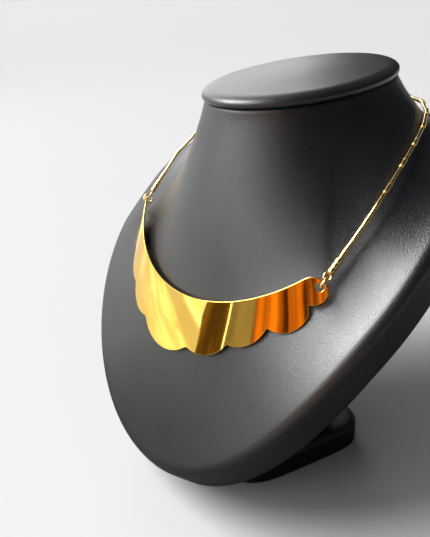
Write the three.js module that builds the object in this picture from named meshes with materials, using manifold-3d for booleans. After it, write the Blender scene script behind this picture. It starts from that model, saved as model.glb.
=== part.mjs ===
// A bib necklace on a slanted neck bust, in millimetres.
// X runs across the bust, -Y is the front and +Z is up. Left and right are those of someone facing it.
// The necklace is a scalloped gold plate between two strands of sleeved rods.
// The strands meet at the nape in a clasp.

import * as THREE from 'three';
import { mergeVertices } from 'three/addons/utils/BufferGeometryUtils.js';
import Module from 'manifold-3d';

const wasm = await Module();
wasm.setup();

// Clearances
const SEAT_GAP = 0.3; // between covered pieces of the bust
const LINK_GAP = 0.15; // between metal pieces that hang in each other
const WELD = 1e-4; // points nearer than this are one point

// Bust: the neck, an upright oval column
const NECK = {
  halfWidth: 38.8,
  halfDepth: 52.6,
  centreY: 23,
  topZ: 84.5,
  tilt: THREE.MathUtils.degToRad(4),
};

// Bust: the padded cap on top of the neck
const CAP = {
  thickness: 5.2,
  overhang: 1,
  edgeRadius: 2.3,
  edgeSteps: 4,
  crown: 0.6,
  crownShare: 0.5,
};

// Bust: the chest board, an egg-shaped slab that slants from the nape down to the tip.
// Its own plane has "down" along the slant and "rise" square to it.
const BOARD = {
  slant: THREE.MathUtils.degToRad(40),
  halfWidth: 95.2,
  front: 131.3,
  back: 111.7,
  centreDown: -6.6,
  fullness: 2.08,
  thickness: 21,
  rimRadius: 5,
  level: 27.5,
  sideDrop: 3.1,
  flatUntil: 24,
  frontDrop: 31,
  frontBend: 1.59,
  backDrop: 40.5,
};

// Bust: the foot board that it stands on, and the waist between foot and chest
const FOOT = {
  groundZ: -107.5,
  height: 15,
  frontY: -54,
  backY: 28,
  frontHalfWidth: 41,
  backHalfWidth: 58,
  fullness: 5,
  edgeRadius: 3,
  edgeSteps: 3,
};
const WAIST = {
  inset: 12,
  boardShare: 0.62,
  hollow: 6,
};

// Columns round the bust and steps down each of its profiles
const BUST_COLUMNS = 72;
const NECK_STEPS = 15;
const RIM_STEPS = 4;
const CREST_INNER = 0.98; // the share of the board's outline that gives the chest's direction at its crest

// How firmly each profile holds the direction of the neck and of the chest, as shares of its span
const NECK_HOLD = { front: 0.043, side: 0.035, back: 0.06 };
const CHEST_HOLD = { front: 0.32, side: 0.3, back: 0.25 };

// Plate: a bent sheet whose straight rulings all point at one apex above it
const PLATE = {
  halfWidth: 76.1,
  depth: 59.5,
  rise: 51.9,
  apexY: -40.1,
  apexZ: 49.5,
  endApexBack: -7.9,
  endApexRise: 39.8,
  thickness: 0.9,
  firstNotch: THREE.MathUtils.degToRad(9.5),
  lobeAngle: THREE.MathUtils.degToRad(13.55),
  endAngle: THREE.MathUtils.degToRad(53.8),
  middleHeight: 24.7,
  narrowing: 1.64,
  widening: 1.315,
  endRadius: 6.1,
  lobeSteps: 12,
  waistSteps: 4,
  waistShare: 0.62,
};
const LOBE_BULGES = [5.3, 3.3, 3.4, 5.8];
const HOLE = { radius: 1.75, rim: 1, sides: 20 };
const SMALL_ANGLE = 0.001;

// Links
const RING = { radius: 2.4, wire: 0.45, steps: 18, wireSides: 6 };
const LOOP = { radius: 1.5, wire: 0.4, steps: 16, wireSides: 6 };
const END_CAP = {
  length: 7,
  radius: 1.45,
  boreDepth: 4,
  rodDepth: 3.6,
  crimp: 0.22,
  chamfer: 0.1,
  sides: 14,
};
const ROD = { radius: 0.88, sides: 10 };
const SLEEVE = { radius: 1.1, length: 5.5, bevel: 0.22, sides: 12 };
const LINK_PITCH = 17;
const STRAIGHT_LEAD = 1; // from an end cap's mouth to the first sleeve
const CLASP = { length: 9, radius: 2.1, bevel: 0.6, sides: 16 };
const SOLDER = 0.3; // how far a soldered loop sinks into what it is fixed to

// The chain's route on the right-hand side, from behind the plate's hole to the nape
const CHAIN_ROUTE = [
  [69, -9.5, 40.8],
  [67, 8, 53.2],
  [62.5, 23, 59.4],
  [56.5, 39.5, 65],
  [48.5, 56, 69],
  [38, 70.5, 71.2],
  [26, 80, 72],
  [0, 88, 72.3],
];

// An end cap's outside: shares of its length, and how many crimps deep it is there
const END_CAP_STATIONS = [
  [0, 2],
  [0.08, 0],
  [0.3, 0],
  [0.36, 1],
  [0.42, 0],
  [0.62, 0],
  [0.68, 1],
  [0.74, 0],
  [0.97, 0],
];

const LEATHER = { color: 0x2b2c2e, roughness: 0.5, metalness: 0 };
const GOLD = { color: 0xd9a83a, roughness: 0.12, metalness: 1 };

const UP = new THREE.Vector3(0, 0, 1);

// Solids

function asManifold(geometry) {
  const bare = geometry.clone();
  bare.deleteAttribute('normal');
  bare.deleteAttribute('uv');
  const merged = mergeVertices(bare, WELD);
  return new wasm.Manifold(new wasm.Mesh({
    numProp: 3,
    vertProperties: new Float32Array(merged.attributes.position.array),
    triVerts: new Uint32Array(merged.index.array),
  }));
}

function asGeometry(solid) {
  const mesh = solid.getMesh();
  const geometry = new THREE.BufferGeometry();
  geometry.setAttribute('position', new THREE.BufferAttribute(new Float32Array(mesh.vertProperties), 3));
  geometry.setIndex(new THREE.BufferAttribute(new Uint32Array(mesh.triVerts), 1));
  geometry.computeVertexNormals();
  return geometry;
}

function joined(geometries) {
  const solids = geometries.map(asManifold);
  return asGeometry(solids.reduce((whole, solid) => whole.add(solid)));
}

function cut(geometry, tools) {
  const solids = tools.map(asManifold);
  return asGeometry(solids.reduce((whole, solid) => whole.subtract(solid), asManifold(geometry)));
}

function signedVolume(points, triangles) {
  let total = 0;
  for (const [a, b, c] of triangles) {
    total += points[a].dot(new THREE.Vector3().crossVectors(points[b], points[c]));
  }
  return total;
}

function solidFrom(points, triangles) {
  const flip = signedVolume(points, triangles) < 0;
  const geometry = new THREE.BufferGeometry();
  geometry.setFromPoints(points);
  geometry.setIndex(triangles.flatMap(([a, b, c]) => (flip ? [a, c, b] : [a, b, c])));
  geometry.computeVertexNormals();
  return geometry;
}

// A closed skin through rings of equal length, with a fan over each end
function loft(rings) {
  const count = rings[0].length;
  const points = rings.flat();
  const triangles = [];
  for (let ring = 0; ring < rings.length - 1; ring += 1) {
    for (let i = 0; i < count; i += 1) {
      const a = ring * count + i;
      const b = ring * count + ((i + 1) % count);
      triangles.push([a, b, b + count], [a, b + count, a + count]);
    }
  }
  for (const [ring, turned] of [[0, true], [rings.length - 1, false]]) {
    const middle = new THREE.Vector3();
    rings[ring].forEach((point) => middle.addScaledVector(point, 1 / count));
    const hub = points.push(middle) - 1;
    for (let i = 0; i < count; i += 1) {
      const a = ring * count + i;
      const b = ring * count + ((i + 1) % count);
      triangles.push(turned ? [b, a, hub] : [a, b, hub]);
    }
  }
  return solidFrom(points, triangles);
}

// Bust

// The values for front, side and back, blended round the neck
function around(angle, { front, side, back }) {
  const c = Math.cos(angle);
  return c > 0 ? side + (front - side) * c * c : side + (back - side) * c * c;
}

// A point of the neck's oval, grown sideways and lifted along its tilted axis
function neckPoint(angle, grow = 0, lift = 0) {
  const across = (NECK.halfWidth + grow) * Math.sin(angle);
  const along = (NECK.halfDepth + grow) * Math.cos(angle);
  const { tilt } = NECK;
  return new THREE.Vector3(
    across,
    NECK.centreY - along * Math.cos(tilt) - lift * Math.sin(tilt),
    NECK.topZ - along * Math.sin(tilt) + lift * Math.cos(tilt),
  );
}

const BOARD_DOWN = new THREE.Vector3(0, -Math.cos(BOARD.slant), -Math.sin(BOARD.slant));
const BOARD_RISE = new THREE.Vector3(0, -Math.sin(BOARD.slant), Math.cos(BOARD.slant));

function boardPoint(x, down, rise) {
  return new THREE.Vector3(x, 0, 0).addScaledVector(BOARD_DOWN, down).addScaledVector(BOARD_RISE, rise);
}

// How high the board's surface would rise at a place, without the neck
function boardRise(x, down) {
  const frontSpan = BOARD.front + BOARD.centreDown - BOARD.rimRadius - BOARD.flatUntil;
  const backSpan = BOARD.back - BOARD.rimRadius;
  const ahead = Math.max(0, (down - BOARD.flatUntil) / frontSpan);
  const behind = Math.max(0, (BOARD.centreDown - down) / backSpan);
  const sideways = x / BOARD.halfWidth;
  return BOARD.level - BOARD.sideDrop * sideways ** 2 - BOARD.frontDrop * ahead ** BOARD.frontBend
    - BOARD.backDrop * behind ** 2;
}

function outline(angle, share = 1) {
  const c = Math.cos(angle);
  const s = Math.sin(angle);
  const power = 2 / BOARD.fullness;
  const wide = Math.sign(s) * Math.abs(s) ** power;
  const long = Math.sign(c) * Math.abs(c) ** power;
  const reach = (c > 0 ? BOARD.front : BOARD.back) - BOARD.rimRadius;
  const halfWidth = BOARD.halfWidth - BOARD.rimRadius;
  return { x: halfWidth * share * wide, down: BOARD.centreDown + reach * share * long };
}

function crestPoint(angle) {
  const { x, down } = outline(angle);
  return boardPoint(x, down, boardRise(x, down));
}

// The direction in which the chest runs out to its crest
function crestDirection(angle) {
  const inner = outline(angle, CREST_INNER);
  const near = boardPoint(inner.x, inner.down, boardRise(inner.x, inner.down));
  return crestPoint(angle).sub(near).normalize();
}

// One profile of the bust from the neck's top edge out to the crest of the chest
function chestProfile(angle) {
  const start = neckPoint(angle);
  const end = crestPoint(angle);
  const span = start.distanceTo(end);
  const neckway = new THREE.Vector3(0, Math.sin(NECK.tilt), -Math.cos(NECK.tilt));
  const hold = start.clone().addScaledVector(neckway, span * around(angle, NECK_HOLD));
  const lead = end.clone().addScaledVector(crestDirection(angle), -span * around(angle, CHEST_HOLD));
  return new THREE.CubicBezierCurve3(start, hold, lead, end);
}

// The rim turns from the chest's direction to the wall's along a round
function rimPoints(angle) {
  const outward = crestDirection(angle);
  const inward = BOARD_RISE.clone().negate();
  const crest = crestPoint(angle);
  const points = [];
  for (let step = 1; step <= RIM_STEPS; step += 1) {
    const turn = (step / RIM_STEPS) * (Math.PI / 2);
    const point = crest.clone();
    point.addScaledVector(outward, BOARD.rimRadius * Math.sin(turn));
    point.addScaledVector(inward, BOARD.rimRadius * (1 - Math.cos(turn)));
    points.push(point);
  }
  points.push(points[RIM_STEPS - 1].clone().addScaledVector(inward, BOARD.thickness - BOARD.rimRadius));
  return points;
}

// The foot's outline: a trapezoid with round corners, wider at the back
function footOutline(angle, inset = 0) {
  const middleY = (FOOT.frontY + FOOT.backY) / 2;
  const halfDepth = (FOOT.backY - FOOT.frontY) / 2 - inset;
  const power = 2 / FOOT.fullness;
  const c = Math.cos(angle);
  const s = Math.sin(angle);
  const y = middleY - halfDepth * Math.sign(c) * Math.abs(c) ** power;
  const share = (y - FOOT.frontY) / (FOOT.backY - FOOT.frontY);
  const halfWidth = THREE.MathUtils.lerp(FOOT.frontHalfWidth, FOOT.backHalfWidth, share) - inset;
  return { x: halfWidth * Math.sign(s) * Math.abs(s) ** power, y };
}

function bustColumns() {
  return Array.from({ length: BUST_COLUMNS }, (_, i) => (i / BUST_COLUMNS) * Math.PI * 2);
}

function columnPoints(angle) {
  const profile = chestProfile(angle);
  const points = [];
  for (let step = 0; step <= NECK_STEPS; step += 1) {
    points.push(profile.getPoint(step / NECK_STEPS));
  }
  points.push(...rimPoints(angle));
  const under = outline(angle, WAIST.boardShare);
  const underRise = boardRise(under.x, under.down) - BOARD.thickness - WAIST.hollow;
  points.push(boardPoint(under.x, under.down, underRise));
  const base = footOutline(angle, WAIST.inset);
  points.push(new THREE.Vector3(base.x, base.y, FOOT.groundZ + FOOT.height + SEAT_GAP));
  return points;
}

function bustBody() {
  const columns = bustColumns().map(columnPoints);
  const rings = columns[0].map((_, row) => columns.map((column) => column[row]));
  return loft(rings);
}

// A quarter round as pairs: how far in from its side and how far from its end, each step of the way
function quarterRound(radius, steps) {
  return Array.from({ length: steps + 1 }, (_, step) => {
    const turn = (step / steps) * (Math.PI / 2);
    return [radius * (1 - Math.cos(turn)), radius * (1 - Math.sin(turn))];
  });
}

function neckCap() {
  const { thickness, overhang, edgeRadius, edgeSteps, crown, crownShare } = CAP;
  const round = quarterRound(edgeRadius, edgeSteps);
  const lower = round.map(([inset, depth]) => [overhang - inset, SEAT_GAP + depth]).reverse();
  const upper = round.map(([inset, depth]) => [overhang - inset, thickness - depth]);
  const top = [[-NECK.halfWidth * crownShare, thickness + crown]];
  const rings = [...lower, ...upper, ...top].map(([grow, lift]) => (
    bustColumns().map((angle) => neckPoint(angle, grow, lift))
  ));
  return loft(rings);
}

function bustFoot() {
  const { groundZ, height, edgeRadius, edgeSteps } = FOOT;
  const round = quarterRound(edgeRadius, edgeSteps);
  const upper = round.map(([inset, depth]) => [inset, groundZ + height - depth]);
  const rings = [[0, groundZ], ...upper].map(([inset, z]) => bustColumns().map((angle) => {
    const { x, y } = footOutline(angle, inset);
    return new THREE.Vector3(x, y, z);
  }));
  return loft(rings);
}

// Plate

const SIDE_LOBES = LOBE_BULGES.length - 1;
const LAST_NOTCH = PLATE.firstNotch + SIDE_LOBES * PLATE.lobeAngle;

function plateTop(angle) {
  return new THREE.Vector3(
    PLATE.halfWidth * Math.sin(angle),
    -PLATE.depth * Math.cos(angle),
    PLATE.rise * (1 - Math.cos(angle)),
  );
}

// The point above the plate from which a ruling comes: it climbs towards the ends, which stand more upright
function apex(angle) {
  const share = (angle / PLATE.endAngle) ** 2;
  const { apexY, apexZ, endApexBack, endApexRise } = PLATE;
  return new THREE.Vector3(0, apexY + endApexBack * share, apexZ + endApexRise * share);
}

function ruling(angle) {
  return plateTop(angle).sub(apex(angle)).normalize();
}

function plateNormal(angle) {
  const along = plateTop(angle + SMALL_ANGLE).sub(plateTop(angle - SMALL_ANGLE));
  return new THREE.Vector3().crossVectors(along, ruling(angle)).normalize().negate();
}

// A place on the plate before it is seated on the chest
function unseatedPoint(angle, down) {
  return plateTop(angle).addScaledVector(ruling(angle), down);
}

// Length along the top edge for one radian of angle
function topSpeed(angle) {
  return plateTop(angle + SMALL_ANGLE).distanceTo(plateTop(angle - SMALL_ANGLE)) / (2 * SMALL_ANGLE);
}

// The line on which the notches between the lobes lie
function notchLine(angle) {
  const share = Math.abs(angle) / (LAST_NOTCH + PLATE.waistShare * PLATE.lobeAngle);
  return PLATE.middleHeight * (1 - PLATE.narrowing * share ** 2 + PLATE.widening * share ** 4);
}

// A lobe's bulge below the notch line, an arc through its two notches
function arc(place, chord, sagitta) {
  const radius = (chord * chord / 4 + sagitta * sagitta) / (2 * sagitta);
  const offset = place * chord / 2;
  return Math.sqrt(radius * radius - offset * offset) - (radius - sagitta);
}

function lobeEdges() {
  const edges = [];
  for (let lobe = -SIDE_LOBES; lobe <= SIDE_LOBES; lobe += 1) {
    const side = Math.sign(lobe);
    const inner = PLATE.firstNotch + (Math.abs(lobe) - 1) * PLATE.lobeAngle;
    const from = lobe === 0 ? -PLATE.firstNotch : side * inner;
    const to = lobe === 0 ? PLATE.firstNotch : side * (inner + PLATE.lobeAngle);
    edges.push({ from: Math.min(from, to), to: Math.max(from, to), bulge: LOBE_BULGES[Math.abs(lobe)] });
  }
  return edges;
}

// Each column of the plate: its angle and how far down its upper and lower edges lie
function plateColumns() {
  const columns = [];
  for (const { from, to, bulge } of lobeEdges()) {
    const middle = (from + to) / 2;
    const spread = 1 + notchLine(middle) / plateTop(middle).distanceTo(apex(middle));
    const chord = (to - from) * topSpeed(middle) * spread;
    for (let step = 0; step < PLATE.lobeSteps; step += 1) {
      const share = step / PLATE.lobeSteps;
      const angle = from + (to - from) * share;
      columns.push({ angle, upper: 0, lower: notchLine(angle) + arc(2 * share - 1, chord, bulge) });
    }
  }
  const right = endColumns();
  const left = right.map((column) => ({ ...column, angle: -column.angle })).reverse();
  return [...left, ...columns, ...right];
}

// The rounded end beyond the last notch
function endColumns() {
  const columns = [];
  const speed = topSpeed(PLATE.endAngle);
  const middle = PLATE.endRadius;
  for (let step = 0; step < PLATE.waistSteps; step += 1) {
    const angle = LAST_NOTCH + (PLATE.endAngle - LAST_NOTCH) * (step / PLATE.waistSteps);
    const short = (PLATE.endAngle - angle) * speed;
    const round = middle + Math.sqrt(Math.max(0, PLATE.endRadius ** 2 - short ** 2));
    const lower = step === 0 ? notchLine(LAST_NOTCH) : round;
    columns.push({ angle, upper: 0, lower });
  }
  const steps = PLATE.lobeSteps;
  for (let step = 0; step < steps; step += 1) {
    const turn = (step / steps) * (Math.PI / 2);
    const half = PLATE.endRadius * Math.cos(turn);
    const angle = PLATE.endAngle + (PLATE.endRadius * Math.sin(turn)) / speed;
    columns.push({ angle, upper: middle - half, lower: middle + half });
  }
  return columns;
}

// How far the plate moves square to the board, so that its nearest edge clears the cover by the seat's gap
function plateLift() {
  const cover = new THREE.Mesh(bustBody());
  const far = BOARD.halfWidth;
  const ray = new THREE.Raycaster();
  const gaps = plateColumns().flatMap(({ angle, upper, lower }) => [upper, lower].flatMap((down) => {
    const back = unseatedPoint(angle, down).addScaledVector(plateNormal(angle), -PLATE.thickness / 2);
    ray.set(back.addScaledVector(BOARD_RISE, far), BOARD_RISE.clone().negate());
    return ray.intersectObject(cover).slice(0, 1).map((hit) => hit.distance - far);
  }));
  return SEAT_GAP - Math.min(...gaps);
}

const PLATE_LIFT = plateLift();

function platePoint(angle, down) {
  return unseatedPoint(angle, down).addScaledVector(BOARD_RISE, PLATE_LIFT);
}

function plateHoleAngle() {
  return PLATE.endAngle + (PLATE.endRadius - HOLE.rim - HOLE.radius) / topSpeed(PLATE.endAngle);
}

const HOLE_ANGLE = plateHoleAngle();
const HOLE_POINT = platePoint(HOLE_ANGLE, PLATE.endRadius);
const HOLE_NORMAL = plateNormal(HOLE_ANGLE);

function bibPlate() {
  const half = PLATE.thickness / 2;
  const columns = plateColumns();
  const tip = PLATE.endAngle + PLATE.endRadius / topSpeed(PLATE.endAngle);
  const points = [];
  for (const { angle, upper, lower } of columns) {
    const normal = plateNormal(angle);
    for (const down of [upper, lower]) {
      points.push(platePoint(angle, down).addScaledVector(normal, half));
      points.push(platePoint(angle, down).addScaledVector(normal, -half));
    }
  }
  const triangles = [];
  const quad = (a, b, c, d) => triangles.push([a, b, c], [a, c, d]);
  for (let i = 0; i < columns.length - 1; i += 1) {
    const a = 4 * i;
    const b = a + 4;
    quad(a, a + 2, b + 2, b);
    quad(a + 1, b + 1, b + 3, a + 3);
    quad(a, b, b + 1, a + 1);
    quad(a + 2, a + 3, b + 3, b + 2);
  }
  for (const [side, at] of [[-1, 0], [1, 4 * (columns.length - 1)]]) {
    const normal = plateNormal(side * tip);
    const end = platePoint(side * tip, PLATE.endRadius);
    const front = points.push(end.clone().addScaledVector(normal, half)) - 1;
    const back = points.push(end.clone().addScaledVector(normal, -half)) - 1;
    const faces = [
      [at, front, at + 2],
      [at + 1, at + 3, back],
      [at, at + 1, back],
      [at, back, front],
      [at + 2, front, back],
      [at + 2, back, at + 3],
    ];
    triangles.push(...faces.map(([a, b, c]) => (side < 0 ? [a, b, c] : [a, c, b])));
  }
  return cut(solidFrom(points, triangles), [-1, 1].map(holeTool));
}

function holeTool(side) {
  const point = HOLE_POINT.clone().multiply(new THREE.Vector3(side, 1, 1));
  const normal = HOLE_NORMAL.clone().multiply(new THREE.Vector3(side, 1, 1));
  const tool = new THREE.CylinderGeometry(HOLE.radius, HOLE.radius, 2 * HOLE.radius, HOLE.sides);
  const turn = new THREE.Quaternion().setFromUnitVectors(new THREE.Vector3(0, 1, 0), normal);
  tool.applyQuaternion(turn);
  tool.translate(point.x, point.y, point.z);
  return tool;
}

// Links, each made along +Z from the origin

// Puts a shape made along +Z at a point, running along a direction, with its X as near as can be to a side
function placed(geometry, point, direction, side) {
  const z = direction.clone().normalize();
  const y = new THREE.Vector3().crossVectors(z, side).normalize();
  const x = new THREE.Vector3().crossVectors(y, z);
  const matrix = new THREE.Matrix4().makeBasis(x, y, z).setPosition(point);
  return geometry.clone().applyMatrix4(matrix);
}

// A ring of wire whose plane holds Z and X, with its near side at the origin
function wireRing({ radius, wire, steps, wireSides }) {
  const ring = new THREE.TorusGeometry(radius, wire, wireSides, steps);
  ring.rotateX(Math.PI / 2);
  ring.translate(0, 0, radius);
  return ring;
}

function lathe(profile, sides) {
  const shape = new THREE.LatheGeometry(profile.map(([r, z]) => new THREE.Vector2(r, z)), sides);
  shape.rotateX(Math.PI / 2);
  return shape;
}

// A rod with bevelled ends, from one height to another
function barrel({ length, radius, bevel, sides }) {
  const half = length / 2;
  return lathe([
    [0, -half],
    [radius - bevel, -half],
    [radius, -half + bevel],
    [radius, half - bevel],
    [radius - bevel, half],
    [0, half],
  ], sides);
}

const CAP_START = 2 * LOOP.radius + LOOP.wire - SOLDER;
const CAP_SPAN = CAP_START + END_CAP.length;

// An end cap: a loop, then a crimped barrel with a bore for the chain
function endCap() {
  const { length, radius, boreDepth, crimp, chamfer, sides } = END_CAP;
  const bore = ROD.radius + LINK_GAP;
  const outside = END_CAP_STATIONS.map(([share, depth]) => (
    [radius - depth * crimp, CAP_START + share * length]
  ));
  const profile = [
    [0, CAP_START],
    ...outside,
    [bore + chamfer, CAP_SPAN],
    [bore, CAP_SPAN],
    [bore, CAP_SPAN - boreDepth],
    [0, CAP_SPAN - boreDepth],
  ];
  return joined([wireRing(LOOP), lathe(profile, sides)]);
}

// The way out of the hole towards the shoulder
const ROUTE_POINTS = CHAIN_ROUTE.map((place) => new THREE.Vector3(...place));
const ROUTE = new THREE.CatmullRomCurve3(ROUTE_POINTS, false, 'centripetal');
const EXIT = ROUTE.points[0].clone().sub(HOLE_POINT).normalize();

// How far from the hole's centre the loop begins that hangs in the ring
const LOOP_START = 2 * RING.radius - RING.wire - LOOP.wire - LINK_GAP;

function frontRing() {
  return placed(wireRing(RING), HOLE_POINT, EXIT, HOLE_NORMAL);
}

function frontCap() {
  const start = HOLE_POINT.clone().addScaledVector(EXIT, LOOP_START);
  const across = new THREE.Vector3().crossVectors(EXIT, HOLE_NORMAL);
  return placed(endCap(), start, EXIT, across);
}

// Where the back cap's loop hangs in the clasp's loop
function backPlace() {
  const nape = ROUTE.points[ROUTE.points.length - 1];
  const reach = CLASP.length / 2 - SOLDER + 2 * LOOP.radius - 2 * LOOP.wire - LINK_GAP;
  const point = nape.clone().add(new THREE.Vector3(reach, 0, 0));
  const ahead = ROUTE.getPointAt(1 - (reach + CAP_SPAN) / ROUTE.getLength());
  return { point, direction: ahead.sub(point).normalize() };
}

function backCap() {
  const { point, direction } = backPlace();
  return placed(endCap(), point, direction, UP);
}

function clasp() {
  const nape = ROUTE.points[ROUTE.points.length - 1];
  const across = new THREE.Vector3(1, 0, 0);
  const back = new THREE.Vector3(0, 1, 0);
  const parts = [placed(barrel(CLASP), nape, across, back)];
  for (const side of [-1, 1]) {
    const way = across.clone().multiplyScalar(side);
    const start = nape.clone().addScaledVector(way, CLASP.length / 2 - SOLDER);
    parts.push(placed(wireRing(LOOP), start, way, back));
  }
  return joined(parts);
}

// The joints of one strand: from the bore of one end cap, a link's pitch apart, into the bore of the other
function strandJoints() {
  const inBore = CAP_SPAN - END_CAP.rodDepth;
  const firstSleeve = CAP_SPAN + SLEEVE.length / 2 + STRAIGHT_LEAD;
  const front = { point: HOLE_POINT.clone().addScaledVector(EXIT, LOOP_START), direction: EXIT };
  const back = backPlace();
  const from = front.point.clone().addScaledVector(front.direction, firstSleeve);
  const to = back.point.clone().addScaledVector(back.direction, firstSleeve);
  const way = new THREE.CatmullRomCurve3([from, ...ROUTE.points.slice(0, -1), to], false, 'centripetal');
  const links = Math.round(way.getLength() / LINK_PITCH);
  const joints = Array.from({ length: links + 1 }, (_, link) => way.getPointAt(link / links));
  joints.unshift(front.point.clone().addScaledVector(front.direction, inBore));
  joints.push(back.point.clone().addScaledVector(back.direction, inBore));
  return joints;
}

function rod(from, to) {
  const length = from.distanceTo(to);
  const shape = new THREE.CylinderGeometry(ROD.radius, ROD.radius, length, ROD.sides);
  shape.rotateX(Math.PI / 2);
  shape.translate(0, 0, length / 2);
  return placed(shape, from, to.clone().sub(from), UP);
}

function sleeve(before, at, after) {
  const direction = after.clone().sub(at).normalize().add(at.clone().sub(before).normalize());
  return placed(barrel(SLEEVE), at, direction, UP);
}

function strand() {
  const joints = strandJoints();
  const parts = [];
  for (let i = 0; i < joints.length - 1; i += 1) {
    parts.push(rod(joints[i], joints[i + 1]));
  }
  for (let i = 1; i < joints.length - 1; i += 1) {
    parts.push(sleeve(joints[i - 1], joints[i], joints[i + 1]));
  }
  return joined(parts);
}

// The whole

function mirrored(geometry) {
  const copy = geometry.clone().scale(-1, 1, 1);
  const index = copy.index.array;
  for (let i = 0; i < index.length; i += 3) {
    [index[i + 1], index[i + 2]] = [index[i + 2], index[i + 1]];
  }
  copy.computeVertexNormals();
  return copy;
}

function piece(name, geometry, finish) {
  const material = new THREE.MeshStandardMaterial(finish);
  const mesh = new THREE.Mesh(geometry, material);
  mesh.name = name;
  return mesh;
}

function pair(name, geometry, finish) {
  return [piece(`${name}_right`, geometry, finish), piece(`${name}_left`, mirrored(geometry), finish)];
}

const bust = new THREE.Group();
bust.add(piece('bust_body', bustBody(), LEATHER));
bust.add(piece('neck_cap', neckCap(), LEATHER));
bust.add(piece('bust_foot', bustFoot(), LEATHER));

const necklace = new THREE.Group();
necklace.add(piece('bib_plate', bibPlate(), GOLD));
necklace.add(...pair('jump_ring', mergeVertices(frontRing()), GOLD));
necklace.add(...pair('end_cap', frontCap(), GOLD));
necklace.add(...pair('chain', strand(), GOLD));
necklace.add(...pair('nape_cap', backCap(), GOLD));
necklace.add(piece('clasp', clasp(), GOLD));

// The origin is under the middle of the whole, on the surface that it stands on
const whole = new THREE.Group();
whole.add(bust, necklace);
const bounds = new THREE.Box3().setFromObject(whole);
const middle = bounds.getCenter(new THREE.Vector3());
whole.position.set(0, -middle.y, -bounds.min.z);

export default whole;
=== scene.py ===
# A bib necklace on a slanted neck bust, dressed for rendering.
# Sizes are in millimetres in the bust's own frame, with the same names as the solids' source has.
# X runs across the bust, -Y is the front and +Z is up.

import math

import bmesh
import bpy
import numpy as np
from mathutils import Matrix, Vector
from mathutils.geometry import delaunay_2d_cdt


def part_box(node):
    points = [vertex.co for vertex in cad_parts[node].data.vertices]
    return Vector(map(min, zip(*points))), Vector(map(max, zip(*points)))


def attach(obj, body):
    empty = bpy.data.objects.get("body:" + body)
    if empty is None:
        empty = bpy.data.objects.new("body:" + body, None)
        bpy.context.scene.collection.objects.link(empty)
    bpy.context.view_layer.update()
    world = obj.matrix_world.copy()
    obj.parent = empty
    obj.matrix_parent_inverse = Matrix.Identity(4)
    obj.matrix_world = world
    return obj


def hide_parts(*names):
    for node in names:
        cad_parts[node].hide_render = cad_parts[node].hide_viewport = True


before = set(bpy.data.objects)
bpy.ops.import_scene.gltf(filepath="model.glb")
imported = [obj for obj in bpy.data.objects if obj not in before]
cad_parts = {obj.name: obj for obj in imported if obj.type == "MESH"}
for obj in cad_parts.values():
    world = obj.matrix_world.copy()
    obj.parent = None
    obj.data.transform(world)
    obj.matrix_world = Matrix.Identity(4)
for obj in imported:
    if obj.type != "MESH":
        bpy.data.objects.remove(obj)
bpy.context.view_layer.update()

MM = 0.001
UP = Vector((0, 0, 1))

# Clearances
SEAT_GAP = 0.3
LINK_GAP = 0.15
SOLDER = 0.3

# Bust
NECK = {"half_width": 38.8, "half_depth": 52.6, "centre_y": 23, "top_z": 84.5, "tilt": math.radians(4)}
NECK_ROLL = 0.9
CAP = {"thickness": 5.2, "overhang": 1, "lower_round": 1.3, "pillow": 6, "pillow_drop": 3, "crown": 0.6}
BOARD = {
    "slant": math.radians(40),
    "half_width": 95.2,
    "front": 131.3,
    "back": 111.7,
    "centre_down": -6.6,
    "fullness": 2.08,
    "thickness": 21,
    "rim_radius": 5,
    "level": 27.5,
    "side_drop": 3.1,
    "flat_until": 24,
    "front_drop": 31,
    "front_bend": 1.59,
    "back_drop": 40.5,
}
FOOT = {
    "ground_z": -107.5,
    "height": 15,
    "front_y": -54,
    "back_y": 28,
    "front_half_width": 41,
    "back_half_width": 58,
    "fullness": 5,
    "edge_radius": 3,
    "base_round": 1.2,
    "base_corner": 0.35,
    "top_step": 3,
    "under_waist": 4,
}
WAIST = {"inset": 12, "board_share": 0.62, "hollow": 6, "bend": 7, "bend_share": 0.3}
NECK_HOLD = {"front": 0.043, "side": 0.035, "back": 0.06}
CHEST_HOLD = {"front": 0.32, "side": 0.3, "back": 0.25}
CREST_INNER = 0.98
FINE_STEP = 0.002
HEM = {"edge_radius": 1.6, "width": 11, "width_share": 0.45, "step": 0.7, "step_from": 0.3, "step_to": 1.2}

# Plate
PLATE = {
    "half_width": 76.1,
    "depth": 59.5,
    "rise": 51.9,
    "apex_y": -40.1,
    "apex_z": 49.5,
    "end_apex_back": -7.9,
    "end_apex_rise": 39.8,
    "thickness": 0.9,
    "first_notch": math.radians(9.5),
    "lobe_angle": math.radians(13.55),
    "end_angle": math.radians(53.8),
    "middle_height": 24.7,
    "narrowing": 1.64,
    "widening": 1.315,
    "end_radius": 6.1,
    "waist_share": 0.62,
}
LOBE_BULGES = (5.3, 3.3, 3.4, 5.8)
HOLE = {"radius": 1.75, "rim": 1}
PLATE_EDGE_ROUND = 0.3

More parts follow.
